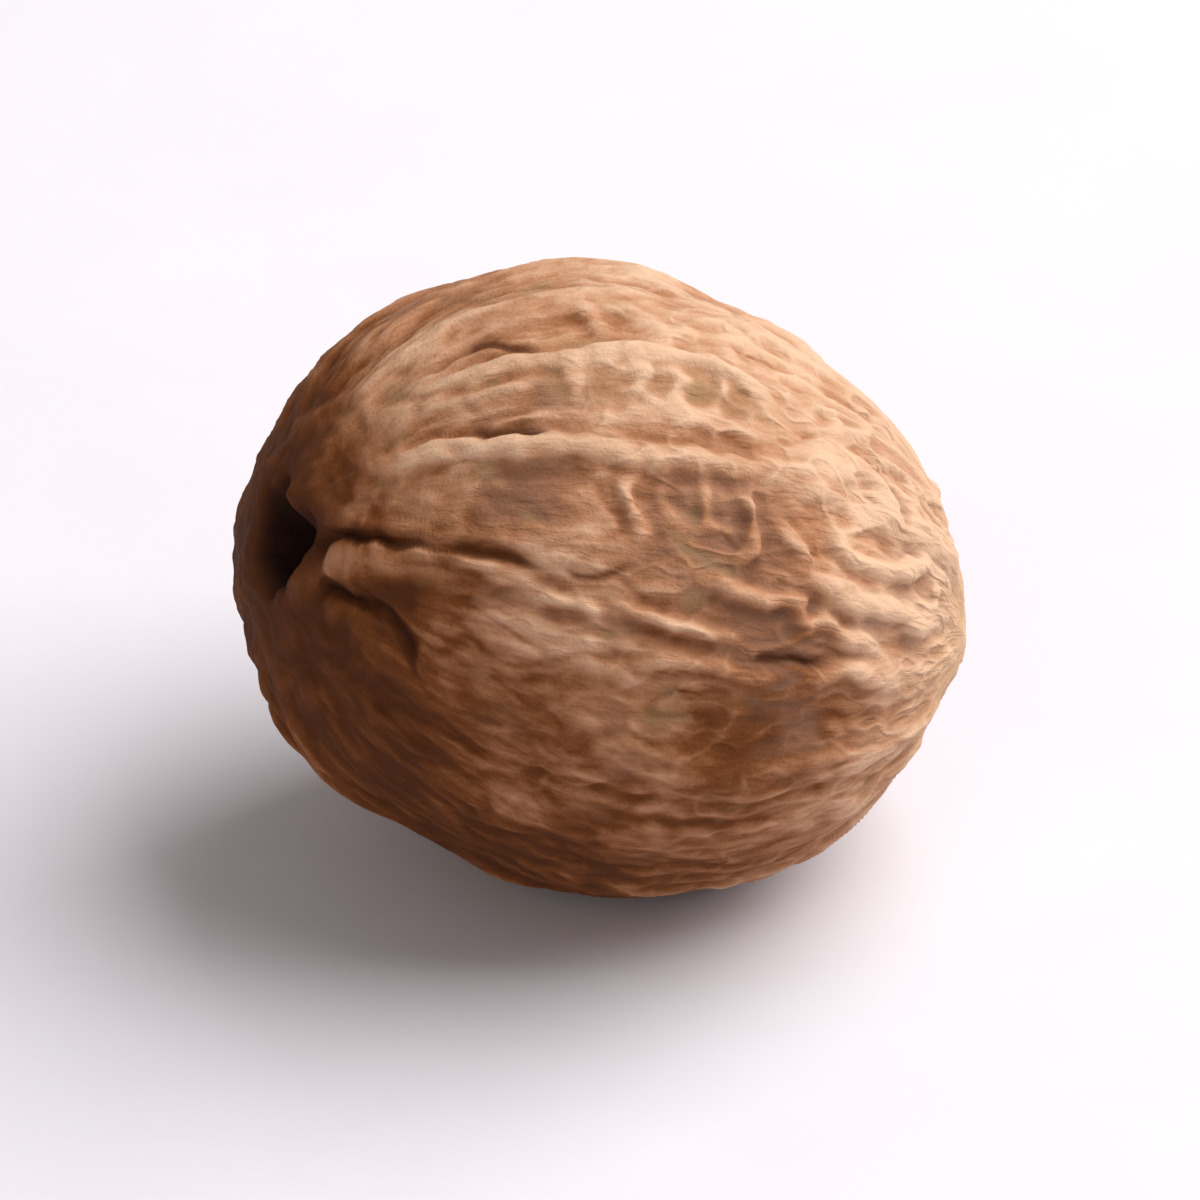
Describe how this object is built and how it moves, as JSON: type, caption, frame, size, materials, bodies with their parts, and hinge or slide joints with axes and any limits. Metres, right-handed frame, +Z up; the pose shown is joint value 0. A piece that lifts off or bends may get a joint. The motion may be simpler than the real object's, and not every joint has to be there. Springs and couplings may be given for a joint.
{
  "type": "whole nutmeg",
  "caption": "Whole dried nutmeg lying on its side: a ribbed and wrinkled brown ovoid seed with a dark pit at one end and a pale low boss at the other.",
  "frame": {"origin": "middle of the box's base, on the surface that the seed rests on", "axes": "+X roughly along the seed towards its hilum (the pale boss), -X towards the raised pit (the chalaza); +Z up; -Y the side with the long furrow"},
  "size_m": [0.0256, 0.022, 0.0219],
  "materials": {
    "nutmeg_skin": "dry matt seed coat, pale tan on its raised veins and red-brown between them"
  },
  "bodies": {
    "root": {"nutmeg": "nutmeg_skin"}
  },
  "joints": []
}
